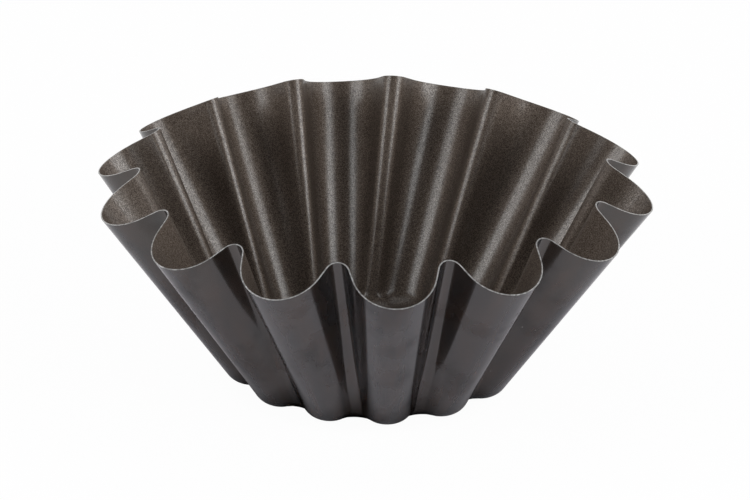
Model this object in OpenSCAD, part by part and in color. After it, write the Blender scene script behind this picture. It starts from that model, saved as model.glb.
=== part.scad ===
// Fluted brioche mould, pressed from one round blank of coated sheet steel.
// The origin is the middle of the resting plane, +Z is up, and a lobe points to -Y.
// All lengths are in millimetres and all angles in degrees.

/* [Mould] */
// Diameter over the lobe tips at the rim
rim_d = 220; // [205:1:235]
// Height of the rim at the lobe tips
rim_h = 76; // [65:0.5:95]
// How much higher the rim stands at the ridges than at the lobe tips
rim_rise = 10.2; // [0:0.1:14]
// Diameter over the lobe tips where the wall would meet the base in a sharp corner
base_d = 114.8; // [108:0.2:122]
// Radius of the bend between base and wall, on the outside
corner_r = 9.5; // [6:0.1:11]

/* [Flutes] */
// Number of flutes
flutes = 14; // [12:1:16]
// Depth of a flute at the rim
rim_flute_depth = 17.8; // [16:0.1:21]
// Depth of a flute at the base
base_flute_depth = 5; // [4.4:0.1:6]
// Radius of the ridge between two flutes at the rim, on the outside
rim_ridge_r = 4.5; // [3:0.1:6]
// Radius of the ridge between two flutes at the base, on the outside
base_ridge_r = 6; // [5:0.1:6.4]
// Direction in which the flank of a flute faces at the rim, seen from above
rim_flank_angle = 75; // [70:0.5:77]
// Direction in which the flank of a flute faces at the base, seen from above
base_flank_angle = 46; // [40:0.5:48]
// How far the flutes are turned at the base, against those at the rim
base_turn = 2.6; // [-3:0.1:4]
// How far the flutes have crept round at the back, at the rim, where they crept most
rim_creep = 3.4; // [0:0.1:6]
// The same at the base
base_creep = 5.9; // [0:0.1:8]
// Direction of the most crept flute, seen from above
creep_direction = 85; // [0:1:359]

/* [Sheet] */
// Thickness of the steel
sheet_t = 0.5; // [0.3:0.05:1]
// Thickness of the non-stick lining inside
lining_t = 0.03; // [0.02:0.005:0.1]
// Thickness of the lacquer outside
lacquer_t = 0.02; // [0.01:0.005:0.1]

/* [Hidden] */
lobe_steps = 5;
ridge_steps = 3;
corner_steps = 5;
pitch = 360 / flutes;
front = -90;
steel_color = [0.72, 0.72, 0.72];
lining_color = [0.27, 0.235, 0.21];
lacquer_color = [0.13, 0.11, 0.1];

// A flute seen from above: one arc for the lobe, one for the ridge after it, and straight
// flanks between them. Each point holds x, y and the direction in which the sheet faces.
function lobe_r(r, depth, ridge_r, flank) =
    ((r - depth + ridge_r) * cos(flank - pitch / 2) - r * cos(flank) - ridge_r) / (1 - cos(flank));

function flute(r, depth, ridge_r, flank) =
    let (lobe = lobe_r(r, depth, ridge_r, flank), ridge_x = r - depth + ridge_r)
    [
        for (i = [-lobe_steps : lobe_steps])
            let (a = flank * i / lobe_steps)
            [r - lobe + lobe * cos(a), lobe * sin(a), a],
        for (i = [-ridge_steps : ridge_steps])
            let (a = pitch / 2 - (flank - pitch / 2) * i / ridge_steps)
            [ridge_x * cos(pitch / 2) - ridge_r * cos(a), ridge_x * sin(pitch / 2) - ridge_r * sin(a), a]
    ];

// The creep is greatest in one direction and fades to nothing a quarter turn away
function creep(most, direction) = most * pow(max(0, cos(direction - creep_direction)), 2);

function turned(p, a) = [p.x * cos(a) - p.y * sin(a), p.x * sin(a) + p.y * cos(a), p.z + a];

function placed(p, a, most) =
    let (q = turned(p, a))
    turned(q, creep(most, atan2(q.y, q.x)));

function outline(r, depth, ridge_r, flank, turn, most) =
    let (one = flute(r, depth, ridge_r, flank))
    [for (f = [0 : flutes - 1], p = one) placed(p, front + f * pitch + turn, most)];

rim_outline = outline(rim_d / 2, rim_flute_depth, rim_ridge_r, rim_flank_angle, 0, rim_creep);
base_outline =
    outline(base_d / 2, base_flute_depth, base_ridge_r, base_flank_angle, base_turn, base_creep);
around = len(rim_outline);

// The rim climbs towards the ridges, because the blank stretches least there
rim = [
    for (p = rim_outline)
        let (r = norm([p.x, p.y]))
        [p.x, p.y, lacquer_t + rim_h + rim_rise * (rim_d / 2 - r) / rim_flute_depth]
];

// The bend between base and wall turns through this angle at each point of the base
bend = [
    for (i = [0 : around - 1])
        let (b = base_outline[i], run = (rim[i].x - b.x) * cos(b.z) + (rim[i].y - b.y) * sin(b.z))
        atan2(rim[i].z - lacquer_t, run)
];

// A point of the bend, at a share of its turn, on the face that lies this deep in the sheet
function bend_point(i, share, deep) =
    let (
        b = base_outline[i],
        a = bend[i] * share,
        out = (corner_r - deep) * sin(a) - corner_r * tan(bend[i] / 2)
    )
    [b.x + out * cos(b.z), b.y + out * sin(b.z), lacquer_t + corner_r - (corner_r - deep) * cos(a)];

// The wall runs straight from the end of the bend to the rim, and the rim is cut square to it
function rim_point(i, deep) =
    let (
        along = rim[(i + 1) % around] - rim[(i + around - 1) % around],
        up = rim[i] - bend_point(i, 1, 0),
        inward = cross(up, along)
    )
    rim[i] + deep * inward / norm(inward);

// One face of the sheet, as rings of points from the base up to the rim
function face(deep) = [
    for (j = [0 : corner_steps], i = [0 : around - 1]) bend_point(i, j / corner_steps, deep),
    for (i = [0 : around - 1]) rim_point(i, deep)
];

// Two triangles between the points i and i + 1 of two rings, facing out from left to right
function strip(lower, upper) = [
    for (i = [0 : around - 1])
        let (next = (i + 1) % around)
        each [[lower + i, upper + i, upper + next], [lower + i, upper + next, lower + next]]
];

// The same triangles seen from the other side
function reversed(triangles) = [for (t = triangles) [t.x, t.z, t.y]];

// A layer of the sheet between two depths. A closed layer has a floor, an open one ends at the bend.
module layer(outer, inner, closed) {
    rings = corner_steps + 2;
    inside = rings * around;
    top = (rings - 1) * around;
    floor_ring = [for (i = [0 : around - 1]) i];
    polyhedron(
        points = concat(face(outer), face(inner)),
        faces = [
            for (j = [0 : rings - 2]) each strip(j * around, (j + 1) * around),
            for (j = [0 : rings - 2]) each reversed(strip(inside + j * around, inside + (j + 1) * around)),
            each strip(top, inside + top),
            if (closed) floor_ring,
            if (closed) [for (i = [around - 1 : -1 : 0]) inside + i],
            if (!closed) each strip(inside, 0)
        ]
    );
}

// Pressed steel shell, bare only at its cut rim
module steel_shell() {
    color(steel_color) layer(0, sheet_t, true);
}

// Satin non-stick coat over the whole inside
module nonstick_lining() {
    color(lining_color) layer(sheet_t, sheet_t + lining_t, true);
}

// Glossy dark lacquer on the outside of the wall and of the bend
module outer_lacquer() {
    color(lacquer_color) layer(-lacquer_t, 0, false);
}

// The same lacquer under the flat base, on which the mould rests
module base_lacquer() {
    color(lacquer_color)
        linear_extrude(lacquer_t)
            polygon([for (i = [0 : around - 1]) let (p = bend_point(i, 0, 0)) [p.x, p.y]]);
}

steel_shell();
nonstick_lining();
outer_lacquer();
base_lacquer();
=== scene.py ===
from math import cos, pi, radians, sin

import bpy
import numpy as np
from mathutils import Matrix, Vector


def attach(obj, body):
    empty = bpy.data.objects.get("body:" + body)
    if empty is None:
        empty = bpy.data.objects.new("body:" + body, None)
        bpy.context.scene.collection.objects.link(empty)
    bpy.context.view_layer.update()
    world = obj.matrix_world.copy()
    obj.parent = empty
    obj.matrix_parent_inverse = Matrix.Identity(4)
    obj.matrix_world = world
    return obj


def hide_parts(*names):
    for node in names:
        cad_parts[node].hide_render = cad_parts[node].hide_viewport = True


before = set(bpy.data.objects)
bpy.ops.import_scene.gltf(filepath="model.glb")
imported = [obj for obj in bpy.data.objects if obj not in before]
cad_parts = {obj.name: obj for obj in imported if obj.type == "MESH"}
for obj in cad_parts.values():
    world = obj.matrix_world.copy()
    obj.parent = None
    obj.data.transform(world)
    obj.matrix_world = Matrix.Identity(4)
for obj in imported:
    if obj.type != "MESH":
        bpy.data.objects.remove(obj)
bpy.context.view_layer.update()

# The camera stands nearly in front of the mould and looks down on it at 24 degrees through a
# long lens, as a catalogue picture is taken.
RIM_HEIGHT = 0.076
CAMERA_DISTANCE = 1.76
CAMERA_ELEVATION = radians(24.02)
CAMERA_AZIMUTH = radians(-94.92)
CAMERA_PAN = radians(-0.03)
CAMERA_TILT = radians(24.798)
CAMERA_ROLL = radians(0.93)
LENS = 214.9
SENSOR_WIDTH = 36
NEAREST, FARTHEST = 0.05, 50

camera_data = bpy.data.cameras.new("camera")
camera_data.sensor_width = SENSOR_WIDTH
camera_data.lens = LENS
camera_data.clip_start = NEAREST
camera_data.clip_end = FARTHEST
camera = bpy.data.objects.new("camera", camera_data)
bpy.context.collection.objects.link(camera)
bpy.context.scene.camera = camera
camera_place = Vector((
    CAMERA_DISTANCE * cos(CAMERA_ELEVATION) * cos(CAMERA_AZIMUTH),
    CAMERA_DISTANCE * cos(CAMERA_ELEVATION) * sin(CAMERA_AZIMUTH),
    RIM_HEIGHT + CAMERA_DISTANCE * sin(CAMERA_ELEVATION),
))
camera.matrix_world = (
    Matrix.Translation(camera_place)
    @ Matrix.Rotation(CAMERA_AZIMUTH + CAMERA_PAN + pi / 2, 4, "Z")
    @ Matrix.Rotation(pi / 2 - CAMERA_TILT, 4, "X")
    @ Matrix.Rotation(CAMERA_ROLL, 4, "Z")
)
bpy.context.scene.view_settings.view_transform = "Standard"


# The studio is a white table in a dark room with softly glowing walls, three soft boxes and a low
# strip of light in front. The lacquered wall mirrors the table. Close to the mould's foot the table
# has a painted shadow: its colour is painted dark there, shifted to the left, away from the
# stronger light on the right.
class Socket:
    """A node's output with Python's operators, so that shader maths reads as maths."""

    def __init__(self, tree, out):
        self.tree = tree
        self.out = out

    def fill(self, node, inputs):
        """Puts values and links into the inputs of a node, which go by number or name."""
        for place, value in inputs.items():
            if isinstance(value, Socket):
                self.tree.links.new(value.out, node.inputs[place])
            else:
                node.inputs[place].default_value = value

    def node(self, kind, settings, inputs, output=0):
        """Adds a node with its settings and inputs, and gives one of its outputs."""
        made = self.tree.nodes.new(kind)
        for name, value in settings.items():
            setattr(made, name, value)
        self.fill(made, inputs)
        return Socket(self.tree, made.outputs[output])

    def maths(self, operation, *values):
        return self.node("ShaderNodeMath", {"operation": operation}, dict(enumerate(values)))

    def __add__(self, other):
        return self.maths("ADD", self, other)

    def __radd__(self, other):
        return self.maths("ADD", other, self)

    def __sub__(self, other):
        return self.maths("SUBTRACT", self, other)

    def __rsub__(self, other):
        return self.maths("SUBTRACT", other, self)

    def __mul__(self, other):
        return self.maths("MULTIPLY", self, other)

    def __rmul__(self, other):
        return self.maths("MULTIPLY", other, self)

    def __truediv__(self, other):
        return self.maths("DIVIDE", self, other)

    def __rtruediv__(self, other):
        return self.maths("DIVIDE", other, self)

    def ramp(self, low, high):
        """0 up to the low value, 1 from the high one on, and straight between them."""
        return self.node("ShaderNodeMapRange", {"clamp": True}, {0: self, 1: low, 2: high})

    def mix(self, first, second):
        """The first colour where this is 0 and the second where it is 1."""
        colours = {0: self, 6: first, 7: second}
        return self.node("ShaderNodeMix", {"data_type": "RGBA"}, colours, 2)

    def vector(self, operation, inputs, output="Vector"):
        """Vector maths with this as its first input."""
        settings = {"operation": operation}
        return self.node("ShaderNodeVectorMath", settings, {0: self, **inputs}, output)


def new_material(name):
    """A material, its shader, and the place on the object in metres."""
    material = bpy.data.materials.new(name)
    material.use_nodes = True
    tree = material.node_tree
    place = tree.nodes.new("ShaderNodeTexCoord")
    return material, tree.nodes["Principled BSDF"], Socket(tree, place.outputs["Object"])


TABLE_SIZE = 1.5
TABLE_THICKNESS = 0.02
TABLE_GLOW = 0.97
TABLE_WHITE = (0.93, 0.9, 0.955, 1)
TABLE_ROUGHNESS = 0.9
# Painted shadow: the table's colour turns dark close under the mould, centred a little to the left.
PAINTED_SHADOW_DARK = (0.02, 0.02, 0.02, 1)
PAINTED_SHADOW_CENTRE = (-0.002, 0, 0)
PAINTED_SHADOW_CORE = (0.052, 0.0635)
SHADOW_FADE = (0.1, 0.2)
WHITE = (1, 1, 1, 1)

table_material, shader, place = new_material("white_table")
# The table's colour holds a painted shadow, dark near a point just left of the axis.
distance = place.vector("DISTANCE", {1: PAINTED_SHADOW_CENTRE}, "Value")
place.fill(shader, {
    "Base Color": distance.ramp(*PAINTED_SHADOW_CORE).mix(PAINTED_SHADOW_DARK, TABLE_WHITE),
    "Roughness": TABLE_ROUGHNESS,
})
to_camera, to_gloss, to_glass = (
    place.node("ShaderNodeLightPath", {}, {}, ray)
    for ray in ("Is Camera Ray", "Is Glossy Ray", "Is Transmission Ray")
)
# Near the mould, mirrored rays see the shaded table, with its painted shadow, not the even white
# glow.
mirrored = (to_gloss + to_glass).ramp(0, 1) * distance.ramp(*SHADOW_FADE)
table_surface = place.node("ShaderNodeMixShader", {}, {
    0: (to_camera + mirrored).ramp(0, 1) * TABLE_GLOW,
    1: Socket(place.tree, shader.outputs[0]),
    2: place.node("ShaderNodeEmission", {}, {"Color": WHITE, "Strength": 1}),
})
place.fill(place.tree.nodes["Material Output"], {"Surface": table_surface})


def box_mesh(name, low, high):
    mesh = bpy.data.meshes.new(name)
    xs, ys, zs = zip(low, high)
    corners = [(x, y, z) for x in xs for y in ys for z in zs]
    sides = [(0, 1, 3, 2), (4, 6, 7, 5), (0, 4, 5, 1), (2, 3, 7, 6), (0, 2, 6, 4), (1, 5, 7, 3)]
    mesh.from_pydata(corners, [], sides)
    piece = bpy.data.objects.new(name, mesh)
    bpy.context.collection.objects.link(piece)
    return piece


table_reach = TABLE_SIZE / 2
table = box_mesh(
    "table", (-table_reach, -table_reach, -TABLE_THICKNESS), (table_reach, table_reach, 0)
)
table.data.materials.append(table_material)

ROOM_SIZE = 5
ROOM_FLOOR, ROOM_CEILING = -0.9, 2.4
ROOM_DARK = (0.02, 0.02, 0.02, 1)
WALL_GLOWS = {"left": 0.6, "right": 0.9, "front": 0.05, "back": 1.0, "floor": 0, "ceiling": 0.01}
room_reach = ROOM_SIZE / 2
room = box_mesh(
    "room", (-room_reach, -room_reach, ROOM_FLOOR), (room_reach, room_reach, ROOM_CEILING)
)
room.visible_camera = False
for face, (side, side_glow) in zip(room.data.polygons, WALL_GLOWS.items()):
    side_material, shader, place = new_material(f"room_{side}")
    place.fill(shader, {
        "Base Color": ROOM_DARK,
        "Emission Color": WHITE,
        "Emission Strength": side_glow,
    })
    room.data.materials.append(side_material)
    face.material_index = face.index

world = bpy.data.worlds.new("studio")
bpy.context.scene.world = world
world.use_nodes = True
world.node_tree.nodes["Background"].inputs["Color"].default_value = WHITE
world.node_tree.nodes["Background"].inputs["Strength"].default_value = 1

LIGHT_COLOUR = (0.95, 0.98, 1)


def soft_light(name, direction, height, distance, size, power):
    """A soft box that looks at the mould from this direction and this height, both in degrees."""
    data = bpy.data.lights.new(name, "AREA")
    data.shape = "RECTANGLE"
    data.size, data.size_y = size
    data.energy = power
    data.color = LIGHT_COLOUR
    lamp = bpy.data.objects.new(name, data)
    bpy.context.collection.objects.link(lamp)
    flat = distance * cos(radians(height))
    lamp.location = (
        flat * cos(radians(direction)),
        flat * sin(radians(direction)),
        distance * sin(radians(height)),
    )
    lamp.rotation_euler = (-lamp.location).to_track_quat("-Z", "Y").to_euler()


soft_light("light_left", direction=-160, height=32, distance=1.6, size=(1, 0.9), power=11)
soft_light("light_right", direction=-34, height=26, distance=1.6, size=(1.1, 1), power=16)
soft_light("light_top", direction=90, height=76, distance=1.9, size=(2.2, 1.6), power=7.5)
soft_light("light_front", direction=-95, height=8, distance=1.8, size=(1.6, 0.4), power=4.5)

# The shell is one blank of half-millimetre sheet steel, pressed in one go into base, bend,
# fluted wall and rim. It is bare only at its cut rim.
FLUTES = 14
HALF_PITCH = pi / FLUTES
FRONT = -pi / 2
RIM_RADIUS = 0.11
RIM_RISE = 0.0102
RIM_FLUTE_DEPTH = 0.0178
RIM_RIDGE_RADIUS = 0.0045
RIM_FLANK = radians(75)
BASE_RADIUS = 0.0574
BASE_FLUTE_DEPTH = 0.005
BASE_RIDGE_RADIUS = 0.006
BASE_FLANK = radians(46)
BASE_TURN = radians(2.6)
RIM_CREEP = radians(3.4)
BASE_CREEP = radians(5.9)
CREEP_DIRECTION = radians(85)
CORNER_RADIUS = 0.0095
SHEET = 0.0005
LACQUER = 0.00002
LOBE_STEPS, FLANK_STEPS, RIDGE_STEPS = 26, 4, 16
BEND_STEPS, WALL_STEPS, FLOOR_STEPS = 12, 14, 8
CUT_EDGE = radians(50)


def turned(points, facing, angle):
    x = points[:, 0] * np.cos(angle) - points[:, 1] * np.sin(angle)
    y = points[:, 0] * np.sin(angle) + points[:, 1] * np.cos(angle)
    return np.column_stack([x, y]), facing + angle


def flute(radius, depth, ridge_radius, flank):
    """One flute: points seen from above, and the directions in which the sheet faces there."""
    ridge_x = radius - depth + ridge_radius
    lobe_radius = ridge_x * cos(flank - HALF_PITCH) - radius * cos(flank) - ridge_radius
    lobe_radius /= 1 - cos(flank)
    lobe_facing = np.linspace(-flank, flank, LOBE_STEPS + 1)
    lobe = np.column_stack([
        radius - lobe_radius + lobe_radius * np.cos(lobe_facing),
        lobe_radius * np.sin(lobe_facing),
    ])
    ridge_facing = np.linspace(flank, 2 * HALF_PITCH - flank, RIDGE_STEPS + 1)
    ridge_middle = ridge_x * np.array([cos(HALF_PITCH), sin(HALF_PITCH)])
    ridge_out = np.column_stack([np.cos(ridge_facing), np.sin(ridge_facing)])
    ridge = ridge_middle - ridge_radius * ridge_out
    next_lobe, _ = turned(lobe[:1], 0, 2 * HALF_PITCH)
    share = np.linspace(0, 1, FLANK_STEPS + 1)[1:-1, None]
    down = lobe[-1] + share * (ridge[0] - lobe[-1])
    up = ridge[-1] + share * (next_lobe - ridge[-1])
    down_facing = np.full(len(down), ridge_facing[0])
    up_facing = np.full(len(up), ridge_facing[-1])
    points = np.vstack([lobe, down, ridge, up])
    return points, np.concatenate([lobe_facing, down_facing, ridge_facing, up_facing])


def outline(radius, depth, ridge_radius, flank, turn, creep):
    """All flutes seen from above. Those at the back have crept round, as on the real mould."""
    flutes = []
    for i in range(FLUTES):
        angle = FRONT + 2 * HALF_PITCH * i + turn
        points, facing = turned(*flute(radius, depth, ridge_radius, flank), angle)
        lean = np.cos(np.arctan2(points[:, 1], points[:, 0]) - CREEP_DIRECTION)
        flutes.append(turned(points, facing, creep * np.maximum(lean, 0) ** 2))
    points, facing = zip(*flutes)
    return np.vstack(points), np.concatenate(facing)


rim_flat, _ = outline(RIM_RADIUS, RIM_FLUTE_DEPTH, RIM_RIDGE_RADIUS, RIM_FLANK, 0, RIM_CREEP)
base_flat, base_facing = outline(
    BASE_RADIUS, BASE_FLUTE_DEPTH, BASE_RIDGE_RADIUS, BASE_FLANK, BASE_TURN, BASE_CREEP
)
AROUND = len(rim_flat)
rise = RIM_RISE * (RIM_RADIUS - np.hypot(*rim_flat.T)) / RIM_FLUTE_DEPTH
rim_line = np.column_stack([rim_flat, LACQUER + RIM_HEIGHT + rise])
base_out = np.column_stack([np.cos(base_facing), np.sin(base_facing)])
run = np.sum((rim_flat - base_flat) * base_out, axis=1)
bend_turn = np.arctan2(rim_line[:, 2] - LACQUER, run)


def bend_ring(share, deep):
    """Points at a share of the bend's turn, on the face that lies this deep in the sheet."""
    angle = bend_turn * share
    out = (CORNER_RADIUS - deep) * np.sin(angle) - CORNER_RADIUS * np.tan(bend_turn / 2)
    height = LACQUER + CORNER_RADIUS - (CORNER_RADIUS - deep) * np.cos(angle)
    return np.column_stack([base_flat + out[:, None] * base_out, height])


def face_rings(deep):
    """Rings of points on the face that lies this deep in the sheet, from the base to the rim."""
    along = np.roll(rim_line, -1, axis=0) - np.roll(rim_line, 1, axis=0)
    inward = np.cross(rim_line - bend_ring(1, 0), along)
    top = rim_line + deep * inward / np.linalg.norm(inward, axis=1)[:, None]
    foot = bend_ring(1, deep)
    rings = [bend_ring(j / BEND_STEPS, deep) for j in range(BEND_STEPS + 1)]
    rings += [foot + (top - foot) * j / WALL_STEPS for j in range(1, WALL_STEPS + 1)]
    return rings


def layer(name, outer, inner, closed, material, node):
    """The sheet between two depths. A closed layer has a floor, an open one ends at the bend."""
    outer_rings, inner_rings = face_rings(outer), face_rings(inner)
    rings = outer_rings + inner_rings[::-1]
    if closed:
        shrink = [1 - j / FLOOR_STEPS for j in range(1, FLOOR_STEPS)]
        floor_under = [outer_rings[0] * [s, s, 1] for s in reversed(shrink)]
        floor_above = [inner_rings[0] * [s, s, 1] for s in shrink]
        rings = floor_under + rings + floor_above
    points = [tuple(p) for ring in rings for p in ring]
    faces = []
    count = len(rings)
    for j in range(count - 1 if closed else count):
        low, high = j * AROUND, (j + 1) % count * AROUND
        for i in range(AROUND):
            k = (i + 1) % AROUND
            faces.append((low + i, low + k, high + k, high + i))
    if closed:
        for ring, order in ((0, -1), (count - 1, 1)):
            points.append((0, 0, rings[ring][0][2]))
            for i in range(AROUND):
                edge = (ring * AROUND + i, ring * AROUND + (i + 1) % AROUND)
                faces.append((len(points) - 1, *edge[::order]))
    mesh = bpy.data.meshes.new(name)
    mesh.from_pydata(points, [], faces)
    mesh.polygons.foreach_set("use_smooth", [True] * len(faces))
    mesh.materials.append(material)
    mesh.update()
    mesh.set_sharp_from_angle(angle=CUT_EDGE)
    piece = bpy.data.objects.new(name, mesh)
    bpy.context.collection.objects.link(piece)
    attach(piece, "root")
    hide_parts(node)


def noise(place, scale, detail):
    return place.node("ShaderNodeTexNoise", {}, {"Vector": place, "Scale": scale, "Detail": detail})


NICK_SCALE, NICK_DETAIL = 900, 4
NICK_EDGE = (0.35, 0.75)
STEEL_DARK = (0.3, 0.29, 0.28, 1)
STEEL_BRIGHT = (0.75, 0.74, 0.73, 1)
STEEL_ROUGHNESS, NICK_ROUGHNESS = 0.4, 0.2

steel, shader, place = new_material("bare_steel_edge")
nicks = noise(place, NICK_SCALE, NICK_DETAIL).ramp(*NICK_EDGE)
place.fill(shader, {
    "Metallic": 1,
    "Base Color": nicks.mix(STEEL_DARK, STEEL_BRIGHT),
    "Roughness": nicks * NICK_ROUGHNESS + STEEL_ROUGHNESS,
})
layer("pressed_shell", 0, SHEET, True, steel, "steel_shell")

# The lining is a non-stick coat baked on the sheet before it was pressed: brown metallic flecks
# under a clear satin film, which draws long pale streaks along the ridges and lobes.
LINING = 0.00003
GRAIN_SCALE, GRAIN_DETAIL = 2600, 0
GRAIN_STRENGTH, GRAIN_HEIGHT = 0.6, 0.0001
FLECK_SCALE = 5200
FLECK_EDGE = (0.42, 0.72)
FLECK_DARK = (0.07, 0.051, 0.04, 1)
FLECK_BRIGHT = (0.2, 0.16, 0.13, 1)
LINING_ROUGHNESS, FLECK_SHINE = 0.7, 0.1
SATIN_ROUGHNESS, SATIN_IOR = 0.25, 1.7
SATIN_WEIGHT, FLECK_WEIGHT = 0.3, 0.5

lining, shader, place = new_material("satin_lining")
grain = noise(place, GRAIN_SCALE, GRAIN_DETAIL)
cells = {"Vector": place, "Scale": FLECK_SCALE}
bright = place.node("ShaderNodeTexVoronoi", {}, cells, "Color").ramp(*FLECK_EDGE)
relief = {"Height": grain, "Strength": GRAIN_STRENGTH, "Distance": GRAIN_HEIGHT}
place.fill(shader, {
    "Metallic": 1,
    "Base Color": bright.mix(FLECK_DARK, FLECK_BRIGHT),
    "Roughness": LINING_ROUGHNESS - bright * FLECK_SHINE,
    "Normal": place.node("ShaderNodeBump", {}, relief),
    "Coat Weight": bright * FLECK_WEIGHT + SATIN_WEIGHT,
    "Coat Roughness": SATIN_ROUGHNESS,
    "Coat IOR": SATIN_IOR,
})
layer("inside_lining", SHEET, SHEET + LINING, True, lining, "nonstick_lining")

# The lacquer is baked on the other side of the sheet: a thin glossy film with a brown depth that
# shows softly beside its mirrored bands. Faint streaks run up the wall and end as mottling under
# the base, and smudges and a few specks lie on it.
STREAK_REACH = 0.05
STREAK_RISE = (0, 0, 3)
STREAK_SCALE, STREAK_DETAIL = 24, 4
STREAK_EDGE = (0.35, 0.7)
SMUDGE_SCALE, SMUDGE_DETAIL = 60, 4
SMUDGE_EDGE = (0.5, 0.7)
SPECK_SCALE, SPECK_DETAIL = 700, 1
SPECK_EDGE = (0.8, 0.84)
FILM_DARK = (0.018, 0.0125, 0.0075, 1)
FILM_BROWN = (0.042, 0.024, 0.014, 1)
SPECK_PALE = (0.3, 0.29, 0.28, 1)
FILM_TINT = (0.3, 0.18, 0.17, 1)
FILM_ROUGHNESS, STREAK_ROUGHNESS = 0.38, 0.12
GLOSS_ROUGHNESS, GLOSS_IOR = 0.13, 1.75
SMUDGE_LOSS = 0.25

lacquer, shader, place = new_material("gloss_lacquer")
flat = place.vector("MULTIPLY", {1: (1, 1, 0)})
reach = flat.vector("LENGTH", {}, "Value")
reach = reach.maths("MAXIMUM", reach, STREAK_REACH)
around = flat.vector("SCALE", {"Scale": 1 / reach})
wall = around.vector("ADD", {1: place.vector("MULTIPLY", {1: STREAK_RISE})})
streak = noise(wall, STREAK_SCALE, STREAK_DETAIL).ramp(*STREAK_EDGE)
smudge = noise(place, SMUDGE_SCALE, SMUDGE_DETAIL).ramp(*SMUDGE_EDGE)
speck = noise(place, SPECK_SCALE, SPECK_DETAIL).ramp(*SPECK_EDGE)
place.fill(shader, {
    "Metallic": 1,
    "Base Color": speck.mix(streak.mix(FILM_DARK, FILM_BROWN), SPECK_PALE),
    "Roughness": streak * STREAK_ROUGHNESS + FILM_ROUGHNESS,
    "Specular Tint": FILM_TINT,
    "Coat Weight": 1 - smudge * SMUDGE_LOSS,
    "Coat Roughness": GLOSS_ROUGHNESS,
    "Coat IOR": GLOSS_IOR,
})
layer("wall_lacquer", -LACQUER, 0, False, lacquer, "outer_lacquer")

# The same lacquer lies under the flat base, on which the mould rests. The plate of the CAD model
# has its exact shape, so it stays and only takes the finish.
for cad_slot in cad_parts["base_lacquer"].material_slots:
    cad_slot.material = lacquer
